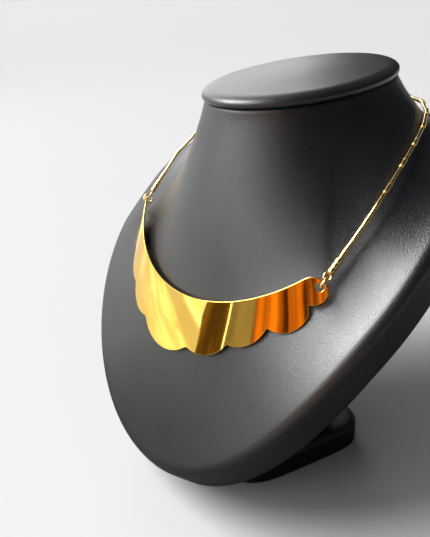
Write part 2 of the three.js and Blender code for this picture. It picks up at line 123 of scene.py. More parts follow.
# Links
RING = {"radius": 2.4, "wire": 0.45}
LOOP = {"radius": 1.5, "wire": 0.4}
END_CAP = {"length": 7, "radius": 1.45, "bore_depth": 4, "rod_depth": 3.6, "crimp": 0.16, "chamfer": 0.1}
ROD = {"radius": 0.88, "bevel": 0.12}
SLEEVE = {"radius": 1.1, "length": 5.5, "bevel": 0.22, "grooves": (0.12, 0.88)}
LINK_PITCH = 17
STRAIGHT_LEAD = 1
CLASP = {"length": 9, "radius": 2.1, "bevel": 0.6, "grooves": (0.3, 0.5, 0.7)}
GROOVE = {"half_width": 0.14, "half_floor": 0.05, "depth": 0.1}
CHAIN_ROUTE = (
    (69, -9.5, 40.8),
    (67, 8, 53.2),
    (62.5, 23, 59.4),
    (56.5, 39.5, 65),
    (48.5, 56, 69),
    (38, 70.5, 71.2),
    (26, 80, 72),
    (0, 88, 72.3),
)

# Camera
CAMERA = {
    "place": Vector((200.9, -182.3, 132.1)),
    "azimuth": math.radians(53.789),
    "elevation": math.radians(27.454),
    "roll": math.radians(-2.806),
    "focal_pixels": 560.586,
    "image_height": 537,
    "sensor": 36,
}

# How finely the skins are divided
COLUMNS = 192
CHEST_ROWS = 44
CAP_ROWS = 24
WAIST_ROWS = 12
LOBE_STEPS = 26
TOP_STEPS = 150
TIP_STEPS = 48
PLATE_GRID = {"columns": 105, "rows": 23, "row_height": 1.4, "clear": 0.7}
TINY = 1e-4

# Studio, in metres
MIDDLE = Vector((0, -0.05, 0.13))
STUDIO_RADIUS = 1.2
CARD_HEIGHT = 0.5
FLOOR_REACH = 40
BACKDROP = {"radius": 12, "height": 10, "sides": 64}

# The solids stand with their foot on the ground and their middle over the origin
FOOT_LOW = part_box("bust_foot")[0]
SHIFT = Vector((0, FOOT_LOW[1] / MM - FOOT["front_y"], -FOOT["ground_z"]))


def metres(point):
    return (Vector(point) + SHIFT) * MM


# Meshes


def new_object(name, mesh):
    piece = bpy.data.objects.new(name, mesh)
    bpy.context.scene.collection.objects.link(piece)
    return piece


def mesh_from(name, points, faces, sharp=None):
    mesh = bpy.data.meshes.new(name)
    mesh.from_pydata([metres(point) for point in points], [], faces)
    mesh.update()
    mesh.shade_smooth()
    if sharp is not None:
        mesh.set_sharp_from_angle(angle=math.radians(sharp))
    return mesh


def loft(rings, start_hub=None, end_hub=None):
    """Points and faces of a skin through rings of equal length, closed by fans to its hubs."""
    count = len(rings[0])
    points = [point for ring in rings for point in ring]
    faces = []
    for row in range(len(rings) - 1):
        for i in range(count):
            a = row * count + i
            b = row * count + (i + 1) % count
            faces.append((a, b, b + count, a + count))
    for hub, row, turned in ((start_hub, 0, True), (end_hub, len(rings) - 1, False)):
        if hub is None:
            continue
        points.append(hub)
        for i in range(count):
            a = row * count + i
            b = row * count + (i + 1) % count
            faces.append((b, a, len(points) - 1) if turned else (a, b, len(points) - 1))
    return points, faces


def signed_volume(points, faces):
    total = 0
    for face in faces:
        for i in range(1, len(face) - 1):
            total += points[face[0]].dot(points[face[i]].cross(points[face[i + 1]]))
    return total


def full_turn(count):
    return [i / count * 2 * math.pi for i in range(count)]


def outward(points, faces):
    if signed_volume(points, faces) < 0:
        return [tuple(reversed(face)) for face in faces]
    return faces


class Shape:
    """Points and faces gathered from several closed skins."""

    def __init__(self):
        self.points = []
        self.faces = []

    def add(self, points, faces):
        start = len(self.points)
        points = [Vector(point) for point in points]
        faces = outward(points, faces)
        self.points.extend(points)
        self.faces.extend(tuple(start + i for i in face) for face in faces)
        return self

    def placed(self, point, direction, side):
        """A copy of a shape made along +Z, put at a point along a direction with its X near a side."""
        z = direction.normalized()
        y = z.cross(side).normalized()
        x = y.cross(z)
        turn = Matrix((x, y, z)).transposed()
        copy = Shape()
        copy.points = [turn @ corner + point for corner in self.points]
        copy.faces = list(self.faces)
        return copy

    def joined(self, other):
        self.add(other.points, other.faces)
        return self

    def mirrored(self):
        copy = Shape()
        copy.points = [Vector((-p.x, p.y, p.z)) for p in self.points]
        copy.faces = [tuple(reversed(face)) for face in self.faces]
        return copy

    def object(self, name, sharp=40):
        return new_object(name, mesh_from(name, self.points, self.faces, sharp))


# Bust

BOARD_DOWN = Vector((0, -math.cos(BOARD["slant"]), -math.sin(BOARD["slant"])))
BOARD_RISE = Vector((0, -math.sin(BOARD["slant"]), math.cos(BOARD["slant"])))


def around(angle, hold):
    c = math.cos(angle)
    end = hold["front"] if c > 0 else hold["back"]
    return hold["side"] + (end - hold["side"]) * c * c


def neck_oval(across, along, lift):
    tilt = NECK["tilt"]
    return Vector((
        across,
        NECK["centre_y"] - along * math.cos(tilt) - lift * math.sin(tilt),
        NECK["top_z"] - along * math.sin(tilt) + lift * math.cos(tilt),
    ))


def neck_point(angle, grow=0, lift=0, share=1):
    across = (NECK["half_width"] + grow) * share * math.sin(angle)
    along = (NECK["half_depth"] + grow) * share * math.cos(angle)
    return neck_oval(across, along, lift)


def board_point(x, down, rise):
    return Vector((x, 0, 0)) + BOARD_DOWN * down + BOARD_RISE * rise


def board_rise(x, down):
    front_span = BOARD["front"] + BOARD["centre_down"] - BOARD["rim_radius"] - BOARD["flat_until"]
    back_span = BOARD["back"] - BOARD["rim_radius"]
    ahead = max(0, (down - BOARD["flat_until"]) / front_span)
    behind = max(0, (BOARD["centre_down"] - down) / back_span)
    sideways = x / BOARD["half_width"]
    rise = BOARD["level"] - BOARD["side_drop"] * sideways**2
    return rise - BOARD["front_drop"] * ahead ** BOARD["front_bend"] - BOARD["back_drop"] * behind**2


def rounded(value, power):
    return math.copysign(abs(value) ** power, value)


def board_outline(angle, share=1):
    power = 2 / BOARD["fullness"]
    c = math.cos(angle)
    reach = (BOARD["front"] if c > 0 else BOARD["back"]) - BOARD["rim_radius"]
    half_width = BOARD["half_width"] - BOARD["rim_radius"]
    x = half_width * share * rounded(math.sin(angle), power)
    return x, BOARD["centre_down"] + reach * share * rounded(c, power)


def crest_point(angle, share=1):
    x, down = board_outline(angle, share)
    return board_point(x, down, board_rise(x, down))


def crest_direction(angle):
    return (crest_point(angle) - crest_point(angle, CREST_INNER)).normalized()


def bezier(a, b, c, d, t):
    s = 1 - t
    return a * s**3 + b * (3 * s * s * t) + c * (3 * s * t * t) + d * t**3


def chest_points(angle, steps):
    """The profile from below the neck's rolled edge out to the crest of the chest."""
    start = neck_point(angle)
    end = crest_point(angle)
    span = (end - start).length
    neckway = Vector((0, math.sin(NECK["tilt"]), -math.cos(NECK["tilt"])))
    hold_length = span * around(angle, NECK_HOLD)
    hold = start + neckway * hold_length
    lead = end - crest_direction(angle) * (span * around(angle, CHEST_HOLD))
    first = 0
    while (bezier(start, hold, lead, end, first) - start).length < NECK_ROLL:
        first += FINE_STEP
    points = []
    for step in range(steps + 1):
        share = step / steps
        points.append(bezier(start, hold, lead, end, first + (1 - first) * share))
    return points


def quarter(steps):
    """Sines and cosines of a quarter turn."""
    for step in range(steps + 1):
        turn = step / steps * math.pi / 2
        yield math.sin(turn), math.cos(turn)


def roll_points(angle):
    """The neck's top edge, rolled over towards the hidden top."""
    points = []
    for s, c in quarter(5):
        points.append(neck_point(angle, -NECK_ROLL * (1 - s), -NECK_ROLL * (1 - c)))
    return points[:-1]


def rim_points(angle):
    direction = crest_direction(angle)
    crest = crest_point(angle)
    radius = BOARD["rim_radius"]
    return [crest + direction * (radius * s) - BOARD_RISE * (radius * (1 - c)) for s, c in quarter(8)][1:]


def parabola(start, corner, end, shares):
    """Points of a bend from a start to an end that a corner pulls outward."""
    return [start * (1 - s) ** 2 + corner * (2 * s * (1 - s)) + end * s**2 for s in shares]


def wall_points(last, edge, way):
    """Down the board's wall and round its lower edge."""
    wall = BOARD["thickness"] - BOARD["rim_radius"]
    start = edge + BOARD_RISE * HEM["edge_radius"]
    finish = edge + way * HEM["edge_radius"]
    points = [last - BOARD_RISE * (wall * share) for share in (0.3, 0.6)]
    return points + [start, *parabola(start, edge, finish, (0.25, 0.5, 0.75)), finish]


def hem_points(edge, way, length, bend):
    """Over the flat hem, down its step and on below the board to where the waist bends off."""
    width = min(HEM["width"], length * HEM["width_share"])
    points = [edge + way * (width * 0.6), edge + way * width]
    for step in (HEM["step_from"], HEM["step_to"]):
        points.append(edge + way * (width + step) + BOARD_RISE * HEM["step"])
    first = width + HEM["step_to"]
    for share in (0.33, 0.66, 1):
        place = edge + way * (first + (length - bend - first) * share)
        points.append(place + BOARD_RISE * (HEM["step"] * (1 - share)))
    return points


def waist_points(corner, way, base, bend):
    """Round the corner below the board and down the waist to the foot."""
    arc_end = corner + (base - corner).normalized() * bend
    points = parabola(corner - way * bend, corner, arc_end, (0.2, 0.4, 0.6, 0.8, 1))
    return points + [arc_end.lerp(base, step / WAIST_ROWS) for step in range(1, WAIST_ROWS + 1)]


def under_points(angle, last):
    """From the rim down the board's wall, round its edge, over the hem and in to the waist."""
    edge = last - BOARD_RISE * (BOARD["thickness"] - BOARD["rim_radius"])
    x, down = board_outline(angle, WAIST["board_share"])
    corner = board_point(x, down, board_rise(x, down) - BOARD["thickness"] - WAIST["hollow"])
    length = (corner - edge).length
    way = (corner - edge).normalized()
    bend = min(WAIST["bend"], length * WAIST["bend_share"])
    foot_x, foot_y = foot_outline(angle, WAIST["inset"])
    base = Vector((foot_x, foot_y, FOOT["ground_z"] + FOOT["height"] + SEAT_GAP))
    points = wall_points(last, edge, way) + hem_points(edge, way, length, bend)
    return points + waist_points(corner, way, base, bend)


def foot_outline(angle, inset=0):
    middle_y = (FOOT["front_y"] + FOOT["back_y"]) / 2
    depth = FOOT["back_y"] - FOOT["front_y"]
    power = 2 / FOOT["fullness"]
    y = middle_y - (depth / 2 - inset) * rounded(math.cos(angle), power)
    share = (y - FOOT["front_y"]) / depth
    half_width = FOOT["front_half_width"] * (1 - share) + FOOT["back_half_width"] * share - inset
    return half_width * rounded(math.sin(angle), power), y


def bust_body():
    columns = []
    for angle in full_turn(COLUMNS):
        column = roll_points(angle) + chest_points(angle, CHEST_ROWS)
        column += rim_points(angle)
        column += under_points(angle, column[-1])
        columns.append(column)
    rings = [list(ring) for ring in zip(*columns)]
    top = neck_oval(0, 0, 0)
    base = rings[-1]
    bottom = sum(base, Vector()) / len(base)
    shape = Shape()
    shape.add(*loft(rings, start_hub=top, end_hub=bottom))
    return shape.object("bust_cover", sharp=55)


def neck_cap():
    full = CAP["overhang"]
    lower = CAP["lower_round"]
    pillow = CAP["pillow"]
    drop = CAP["pillow_drop"]
    stations = []
    for s, c in quarter(8):
        stations.append((full - lower * (1 - s), SEAT_GAP + lower * (1 - c)))
    for s, c in quarter(14):
        stations.append((full - pillow * (1 - c), CAP["thickness"] - drop * (1 - s)))
    angles = full_turn(COLUMNS)
    rings = [[neck_point(angle, grow, lift) for angle in angles] for grow, lift in stations]
    for step in range(1, CAP_ROWS):
        share = 1 - step / CAP_ROWS
        lift = CAP["thickness"] + CAP["crown"] * (1 - share**2) ** 2
        rings.append([neck_point(angle, full - pillow, lift, share) for angle in angles])
    bottom = neck_oval(0, 0, SEAT_GAP)
    top = neck_oval(0, 0, CAP["thickness"] + CAP["crown"])
    shape = Shape()
    shape.add(*loft(rings, start_hub=bottom, end_hub=top))
    return shape.object("cap_cover", sharp=60)


def foot_stations():
    """Pairs of inset and height, from the ground up the foot's side and in over its top."""
    ground = FOOT["ground_z"]
    top = ground + FOOT["height"]
    radius = FOOT["edge_radius"]
    low, corner = FOOT["base_round"], FOOT["base_corner"]
    stations = [(low, ground), (corner, ground + corner), (0, ground + low)]
    stations += [(0, ground + (top - radius - ground) * share) for share in (0.4, 0.75)]
    stations += [(radius * (1 - c), top - radius * (1 - s)) for s, c in quarter(6)]
    return stations + [(radius + FOOT["top_step"], top), (WAIST["inset"] + FOOT["under_waist"], top)]


def bust_foot():
    rings = []
    for inset, z in foot_stations():
        ring = []
        for angle in full_turn(COLUMNS):
            x, y = foot_outline(angle, inset)
            ring.append(Vector((x, y, z)))
        rings.append(ring)
    middle_y = (FOOT["front_y"] + FOOT["back_y"]) / 2
    bottom, top = (Vector((0, middle_y, ring[0].z)) for ring in (rings[0], rings[-1]))
    shape = Shape()
    shape.add(*loft(rings, start_hub=bottom, end_hub=top))
    return shape.object("foot_cover", sharp=60)


# Plate

SIDE_LOBES = len(LOBE_BULGES) - 1
LAST_NOTCH = PLATE["first_notch"] + SIDE_LOBES * PLATE["lobe_angle"]
SMALL_ANGLE = 0.001


def plate_top(angle):
    return Vector((
        PLATE["half_width"] * math.sin(angle),
        -PLATE["depth"] * math.cos(angle),
        PLATE["rise"] * (1 - math.cos(angle)),
    ))


def apex(angle):
    share = (angle / PLATE["end_angle"]) ** 2
    y = PLATE["apex_y"] + PLATE["end_apex_back"] * share
    return Vector((0, y, PLATE["apex_z"] + PLATE["end_apex_rise"] * share))


def ruling(angle):
    return (plate_top(angle) - apex(angle)).normalized()


def unseated_point(angle, down):
    return plate_top(angle) + ruling(angle) * down


def plate_along(angle, down=0):
    ahead = unseated_point(angle + SMALL_ANGLE, down)
    return (ahead - unseated_point(angle - SMALL_ANGLE, down)) / (2 * SMALL_ANGLE)


def plate_normal(angle, down=0):
    return -plate_along(angle, down).cross(ruling(angle)).normalized()


def top_speed(angle):
    return plate_along(angle).length


def notch_line(angle):
    share = abs(angle) / (LAST_NOTCH + PLATE["waist_share"] * PLATE["lobe_angle"])
    return PLATE["middle_height"] * (1 - PLATE["narrowing"] * share**2 + PLATE["widening"] * share**4)


def arc(place, chord, sagitta):
    radius = (chord * chord / 4 + sagitta * sagitta) / (2 * sagitta)
    offset = place * chord / 2
    return math.sqrt(radius * radius - offset * offset) - (radius - sagitta)


def lobe_points(lobe):
    """The lower edge of one lobe from its left notch on, as pairs of angle and depth."""
    first = PLATE["first_notch"]
    inner = first + (abs(lobe) - 1) * PLATE["lobe_angle"]
    ends = (-first, first) if lobe == 0 else (inner, inner + PLATE["lobe_angle"])
    if lobe < 0:
        ends = (-ends[1], -ends[0])
    middle = sum(ends) / 2
    spread = 1 + notch_line(middle) / (plate_top(middle) - apex(middle)).length
    chord = (ends[1] - ends[0]) * top_speed(middle) * spread
    bulge = LOBE_BULGES[abs(lobe)]
    points = []
    for step in range(LOBE_STEPS):
        share = step / LOBE_STEPS
        angle = ends[0] + (ends[1] - ends[0]) * share
        points.append((angle, notch_line(angle) + arc(2 * share - 1, chord, bulge)))
    return points


def end_points():
    """The right-hand end's edge, from the last notch round the tip to the top edge."""
    speed = top_speed(PLATE["end_angle"])
    radius = PLATE["end_radius"]
    points = [(LAST_NOTCH, notch_line(LAST_NOTCH))]
    waist = PLATE["end_angle"] - LAST_NOTCH
    for step in range(1, 8):
        angle = LAST_NOTCH + waist * step / 8
        short = (PLATE["end_angle"] - angle) * speed
        points.append((angle, radius + math.sqrt(max(0, radius**2 - short**2))))
    for step in range(TIP_STEPS + 1):
        turn = math.pi / 2 - step / TIP_STEPS * math.pi
        angle = PLATE["end_angle"] + radius * math.cos(turn) / speed
        points.append((angle, radius + radius * math.sin(turn)))
    return points


def softened(points, sharp_at):
    """Turns each listed corner of the open edge into a small round."""
    result = []
    for i, point in enumerate(points):
        if i not in sharp_at:
            result.append(point)
            continue
        before, after = points[i - 1], points[i + 1]
        for share in (0.2, 0.5, 0.8):
            a, b, c = (1 - share) ** 2, 2 * share * (1 - share), share**2
            result.append(tuple(a * p + b * q + c * r for p, q, r in zip(before, point, after)))
    return result


def plate_outline():
    """The plate's edge, once round: along the lower edge to the right and back along the top."""
    lower = []
    corners = []
    for lobe in range(-SIDE_LOBES, SIDE_LOBES + 1):
        corners.append(len(lower))
        lower += lobe_points(lobe)
    corners.append(len(lower))
    right = end_points()
    left = [(-angle, down) for angle, down in reversed(right[1:])]
    edge = softened(left + lower + right, {corner + len(left) for corner in corners})
    top_from = right[-1][0]
    top = [(top_from * (1 - 2 * i / TOP_STEPS), 0) for i in range(1, TOP_STEPS)]
    return edge + top


def plate_lift():
    """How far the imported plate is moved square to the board, to sit on the cover."""
    packed_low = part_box("bib_plate")[0][2] / MM - SHIFT.z
    half = PLATE["thickness"] / 2
    lows = []
    for at in plate_outline():
        for side in (-1, 1):
            lows.append((unseated_point(*at) + plate_normal(*at) * side * half).z)
    return (packed_low - min(lows)) / BOARD_RISE.z


PLATE_LIFT = plate_lift()


def plate_point(angle, down):
    return unseated_point(angle, down) + BOARD_RISE * PLATE_LIFT


def hole_centre(side):
    angle = PLATE["end_angle"]
    angle += (PLATE["end_radius"] - HOLE["rim"] - HOLE["radius"]) / top_speed(PLATE["end_angle"])
    return side * angle, PLATE["end_radius"]


def hole_outline(side, count=40):
    angle, down = hole_centre(side)
    along = plate_along(angle, down)
    ruled = ruling(angle)
    across = (along - ruled * along.dot(ruled)).normalized()
    points = []
    for turn in full_turn(count):
        offset = across * (HOLE["radius"] * math.cos(turn)) + ruled * (HOLE["radius"] * math.sin(turn))
        d_angle = offset.dot(across) / along.dot(across)
        d_down = offset.dot(ruled) - d_angle * along.dot(ruled)
        points.append((angle + d_angle, down + d_down))
    return points


def edge_ways(loop, toward):
    """For each point of a loop on the plate, the way out of the metal, within its surface."""
    places = [plate_point(*at) for at in loop]
    ways = []
    for i, at in enumerate(loop):
        tangent = places[(i + 1) % len(loop)] - places[i - 1]
        ways.append(tangent.cross(plate_normal(*at)).normalized())
    if ways[0].dot(toward) < 0:
        ways = [-way for way in ways]
    return ways


def inside(point, loop):
    x, y = point
    odd = False
    for i in range(len(loop)):
        (x0, y0), (x1, y1) = loop[i - 1], loop[i]
        if (y0 > y) != (y1 > y) and x < (x1 - x0) * (y - y0) / (y1 - y0) + x0:
            odd = not odd
    return odd


def flattened(loops):
    """Loops of angle and depth in the plate's flat pattern, in millimetres."""
    scale = top_speed(0)
    return [[(angle * scale, down) for angle, down in loop] for loop in loops]


def in_metal(at, flat_loops):
    outline, *holes = flat_loops
    return inside(at, outline) and not any(inside(at, hole) for hole in holes)


def plate_triangles(loops, inner):
    """Triangulates the plate in its flat pattern, with its edges kept."""
    flat = flattened([*loops, inner])
    points = [Vector(at) for part in flat for at in part]
    edges = []
    start = 0
    for loop in loops:
        edges += [(start + i, start + (i + 1) % len(loop)) for i in range(len(loop))]
        start += len(loop)
    coords, _, faces, origins, _, _ = delaunay_2d_cdt(points, edges, [], 1, 1e-7)
    kept = []
    for face in faces:
        middle = sum((coords[i] for i in face), Vector((0, 0))) / len(face)
        if in_metal(middle, flat[:-1]):
            kept.append([origins[i][0] for i in face])
    return kept


def inner_points(loops):
    """A grid of places inside the plate, clear of its edges."""
    flat = flattened(loops)
    borders = np.array([at for loop in flat for at in loop])
    reach = max(x for x, _ in flat[0])
    columns = PLATE_GRID["columns"]
    points = []
    for column in range(-columns, columns + 1):
        x = column / columns * reach
        for row in range(1, PLATE_GRID["rows"] + 1):
            y = row * PLATE_GRID["row_height"]
            clear = np.hypot(borders[:, 0] - x, borders[:, 1] - y).min()
            if clear >= PLATE_GRID["clear"] and in_metal((x, y), flat):
                points.append((x / top_speed(0), y))
    return points


def loop_ways(loops):
    """The ways out of the metal along the plate's outline and round its two holes."""
    ways = edge_ways(loops[0], toward=-ruling(0))
    for side, loop in ((1, loops[1]), (-1, loops[2])):
        centre = plate_point(*hole_centre(side))
        ways += edge_ways(loop, toward=centre - plate_point(*loop[0]))
    return ways


def skin_points(border, middle, side):
    """The plate's front or back skin, as pairs of a point and the direction that it faces."""
    lift = side * PLATE["thickness"] / 2
    pairs = []
    for place, normal, way in border:
        pairs.append((place - way * PLATE_EDGE_ROUND + normal * lift, normal * side))
    for place, normal in middle:
        pairs.append((place + normal * lift, normal * side))
    return pairs


def edge_profile():
    """The rounded edge from front to back: each row's share of the inset, its height and its facing."""
    half = PLATE["thickness"] / 2
    profile = []
    for s, c in list(quarter(4))[1:]:
        profile.append((1 - s, half - PLATE_EDGE_ROUND * (1 - c), (s, c)))
    return profile + [(inset, -height, (s, -c)) for inset, height, (s, c) in reversed(profile)]


def edge_points(border):
    pairs = []
    for inset, height, (s, c) in edge_profile():
        for place, normal, way in border:
            point = place - way * (PLATE_EDGE_ROUND * inset) + normal * height
            pairs.append((point, (way * s + normal * c).normalized()))
    return pairs


def edge_faces(loops, rows):
    """Faces between rows of points, of which each row goes once round all loops."""
    faces = []
    start = 0
    for loop in loops:
        for i in range(len(loop)):
            a, c = start + i, start + (i + 1) % len(loop)
            for upper, lower in zip(rows, rows[1:]):
                faces.append((upper + a, lower + a, lower + c, upper + c))
        start += len(loop)
    return faces


def bib_plate():
    loops = [plate_outline(), hole_outline(1), hole_outline(-1)]
    inner = inner_points(loops)
    triangles = plate_triangles(loops, inner)
    ring = [at for loop in loops for at in loop]
    border = [(plate_point(*at), plate_normal(*at), way) for at, way in zip(ring, loop_ways(loops))]
    middle = [(plate_point(*at), plate_normal(*at)) for at in inner]
    skin = len(border) + len(middle)
    pairs = skin_points(border, middle, 1) + skin_points(border, middle, -1) + edge_points(border)
    faces = [tuple(face) for face in triangles]
    faces += [tuple(skin + i for i in reversed(face)) for face in triangles]
    faces += edge_faces(loops, [0, *range(2 * skin, len(pairs), len(border)), skin])
    mesh = bpy.data.meshes.new("gold_plate")
    mesh.from_pydata([metres(point) for point, _ in pairs], [], faces)
    mesh.update()
    make_consistent(mesh)
    mesh.shade_smooth()
    mesh.normals_split_custom_set_from_vertices([facing.normalized() for _, facing in pairs])
    return new_object("gold_plate", mesh)


def make_consistent(mesh):
    """Turns all faces of a closed mesh outward."""
    work = bmesh.new()
    work.from_mesh(mesh)
    bmesh.ops.recalc_face_normals(work, faces=work.faces)
    work.to_mesh(mesh)
    work.free()


# Links, each made along +Z from the origin


def wire_ring(radius, wire, steps=48, sides=16):
    points = []
    for turn in full_turn(steps):
        middle = Vector((math.sin(turn), 0, -math.cos(turn)))
        for roll in full_turn(sides):
            point = middle * (radius + wire * math.cos(roll)) + Vector((0, wire * math.sin(roll), radius))
            points.append(point)
    faces = []
    for i in range(steps):
        for j in range(sides):
            a = i * sides + j
            b = i * sides + (j + 1) % sides
            c = (i + 1) % steps * sides + (j + 1) % sides
            d = (i + 1) % steps * sides + j
            faces.append((a, b, c, d))
    return Shape().add(points, faces)


def lathe(profile, sides=32):
    rings = []
    for radius, z in profile[1:-1]:
        rings.append([Vector((radius * math.cos(a), radius * math.sin(a), z)) for a in full_turn(sides)])
    start = Vector((0, 0, profile[0][1]))
    end = Vector((0, 0, profile[-1][1]))
    return Shape().add(*loft(rings, start_hub=start, end_hub=end))


def barrel(length, radius, bevel, grooves=()):
    """A tube with rounded ends and a fine groove at each of some shares of its length."""
    half = length / 2
    wide, narrow = GROOVE["half_width"], GROOVE["half_floor"]
    floor = radius - GROOVE["depth"]
    profile = [(0, -half), (radius - bevel, -half)]
    profile += [(radius - bevel * (1 - s), -half + bevel * (1 - c)) for s, c in quarter(4)][1:]
    for share in grooves:
        z = -half + share * length
        profile += [(radius, z - wide), (floor, z - narrow), (floor, z + narrow), (radius, z + wide)]
    profile += [(radius - bevel * (1 - c), half - bevel * (1 - s)) for s, c in quarter(4)]
    profile += [(0, half)]
    return lathe(profile)


CAP_START = 2 * LOOP["radius"] + LOOP["wire"] - SOLDER
CAP_SPAN = CAP_START + END_CAP["length"]
# Shares of the end cap's length, with how deep its crimps are there
END_CAP_STATIONS = (
    (0, 2.2),
    (0.03, 1.2),
    (0.08, 0.2),
    (0.12, 0),
    (0.28, 0),
    (0.31, 0.25),
    (0.34, 0.9),
    (0.38, 0.9),
    (0.41, 0.25),
    (0.44, 0),
    (0.6, 0),
    (0.63, 0.25),
    (0.66, 0.9),
    (0.7, 0.9),
    (0.73, 0.25),
    (0.76, 0),
    (0.95, 0),
    (0.98, 0.3),
)


def end_cap():
    radius = END_CAP["radius"]
    bore = ROD["radius"] + LINK_GAP
    profile = [(0, CAP_START)]
    for share, depth in END_CAP_STATIONS:
        profile.append((radius - depth * END_CAP["crimp"], CAP_START + share * END_CAP["length"]))
    profile += [
        (bore + END_CAP["chamfer"], CAP_SPAN),
        (bore, CAP_SPAN - END_CAP["chamfer"]),
        (bore, CAP_SPAN - END_CAP["bore_depth"]),
        (0, CAP_SPAN - END_CAP["bore_depth"]),
    ]
    shape = lathe(profile)
    return shape.joined(wire_ring(**LOOP))


class Route:
    """A centripetal Catmull-Rom curve through chosen points, also read by length."""

    def __init__(self, points, divisions=200):
        self.points = [Vector(point) for point in points]
        self.divisions = divisions
        places = [self.at(i / divisions) for i in range(divisions + 1)]
        self.lengths = [0]
        for before, after in zip(places, places[1:]):
            self.lengths.append(self.lengths[-1] + (after - before).length)

    def at(self, t):
        points = self.points
        last = len(points) - 1
        place = last * t
        index = min(int(place), last - 1)
        weight = place - index
        p1, p2 = points[index], points[index + 1]
        p0 = points[index - 1] if index > 0 else p1 * 2 - p2
        p3 = points[index + 2] if index + 2 <= last else p2 * 2 - p1
        d0 = max((p1 - p0).length ** 0.5, TINY)
        d1 = max((p2 - p1).length ** 0.5, TINY)
        d2 = max((p3 - p2).length ** 0.5, TINY)
        t1 = ((p1 - p0) / d0 - (p2 - p0) / (d0 + d1) + (p2 - p1) / d1) * d1
        t2 = ((p2 - p1) / d1 - (p3 - p1) / (d1 + d2) + (p3 - p2) / d2) * d1
        cubic = (p1 - p2) * 2 + t1 + t2
        square = (p2 - p1) * 3 - t1 * 2 - t2
        return p1 + t1 * weight + square * weight**2 + cubic * weight**3

    def length(self):
        return self.lengths[-1]

    def at_share(self, share):
        target = share * self.length()
        t = float(np.interp(target, self.lengths, np.linspace(0, 1, self.divisions + 1)))
        return self.at(t)


ROUTE = Route(CHAIN_ROUTE)
NAPE = ROUTE.points[-1]
HOLE_POINT = plate_point(*hole_centre(1))
HOLE_NORMAL = plate_normal(*hole_centre(1))
EXIT = (ROUTE.points[0] - HOLE_POINT).normalized()
LOOP_START = 2 * RING["radius"] - RING["wire"] - LOOP["wire"] - LINK_GAP


def front_ring():
    return wire_ring(**RING, sides=20).placed(HOLE_POINT, EXIT, HOLE_NORMAL)


def front_cap():
    return end_cap().placed(HOLE_POINT + EXIT * LOOP_START, EXIT, EXIT.cross(HOLE_NORMAL))


def back_place():
    reach = CLASP["length"] / 2 - SOLDER + 2 * LOOP["radius"] - 2 * LOOP["wire"] - LINK_GAP
    point = NAPE + Vector((reach, 0, 0))
    ahead = ROUTE.at_share(1 - (reach + CAP_SPAN) / ROUTE.length())
    return point, (ahead - point).normalized()


def back_cap():
    point, direction = back_place()
    return end_cap().placed(point, direction, UP)


def clasp():
    across = Vector((1, 0, 0))
    back = Vector((0, 1, 0))
    shape = barrel(**CLASP).placed(NAPE, across, back)
    for side in (-1, 1):
        way = across * side
        start = NAPE + way * (CLASP["length"] / 2 - SOLDER)
        shape.joined(wire_ring(**LOOP).placed(start, way, back))
    return shape


def strand_joints():
    in_bore = CAP_SPAN - END_CAP["rod_depth"]
    first_sleeve = CAP_SPAN + SLEEVE["length"] / 2 + STRAIGHT_LEAD
    front = HOLE_POINT + EXIT * LOOP_START
    back, direction = back_place()
    way = Route([front + EXIT * first_sleeve, *ROUTE.points[:-1], back + direction * first_sleeve])
    links = round(way.length() / LINK_PITCH)
    joints = [way.at_share(link / links) for link in range(links + 1)]
    return [front + EXIT * in_bore, *joints, back + direction * in_bore]


def rod(start, end):
    length = (end - start).length
    return barrel(length, **ROD).placed((start + end) / 2, end - start, UP)


def strand():
    joints = strand_joints()
    shape = Shape()
    for start, end in zip(joints, joints[1:]):
        shape.joined(rod(start, end))
    sleeve = barrel(**SLEEVE)
    for before, at, after in zip(joints, joints[1:], joints[2:]):
        direction = (after - at).normalized() + (at - before).normalized()
        shape.joined(sleeve.placed(at, direction, UP))
    return shape


# Materials


class Nodes:
    """A short way to write a material's nodes."""

    def __init__(self, name):
        self.material = bpy.data.materials.new(name)
        self.material.use_nodes = True
        self.tree = self.material.node_tree
        self.shader = self.tree.nodes["Principled BSDF"]

    def add(self, kind, settings=None, **inputs):
        node = self.tree.nodes.new(kind)
        for key, value in (settings or {}).items():
            setattr(node, key, value)
        for key, value in inputs.items():
            self.put(node, key.replace("_", " "), value)
        return node

    def put(self, node, key, value):
        socket = node.inputs[int(key)] if key.isdigit() else node.inputs[key]
        if isinstance(value, bpy.types.NodeSocket):
            self.tree.links.new(value, socket)
        else:
            socket.default_value = value

    def math(self, operation, a, b=0.0):
        node = self.add("ShaderNodeMath", {"operation": operation})
        self.put(node, "0", a)
        self.put(node, "1", b)
        return node.outputs[0]

    def noise(self, vector, scale, detail=3.0, roughness=0.5, swirl=0.0):
        node = self.add("ShaderNodeTexNoise", Vector=vector, Scale=scale, Detail=detail)
        self.put(node, "Roughness", roughness)
        self.put(node, "Distortion", swirl)
        return node.outputs["Fac"]

    def ramp(self, factor, stops):
        node = self.add("ShaderNodeValToRGB")
        self.put(node, "Fac", factor)
        band = node.color_ramp
        band.elements[0].position = stops[0][0]
        band.elements[0].color = stops[0][1]
        band.elements[1].position = stops[-1][0]
        band.elements[1].color = stops[-1][1]
        for position, color in stops[1:-1]:
            band.elements.new(position).color = color
        return node.outputs["Color"]

    def spread(self, factor, low, high):
        node = self.add("ShaderNodeMapRange")
        self.put(node, "Value", factor)
        node.inputs["To Min"].default_value = low
        node.inputs["To Max"].default_value = high
        return node.outputs["Result"]

    def bump(self, height, strength, distance, normal=None):
        node = self.add("ShaderNodeBump", Strength=strength, Distance=distance, Height=height)
        if normal is not None:
            self.put(node, "Normal", normal)
        return node.outputs["Normal"]

    def shade(self, **inputs):
        for key, value in inputs.items():
            self.put(self.shader, key.replace("_", " "), value)
        return self.material


def grey(value, alpha=1):
    return (value, value, value, alpha)


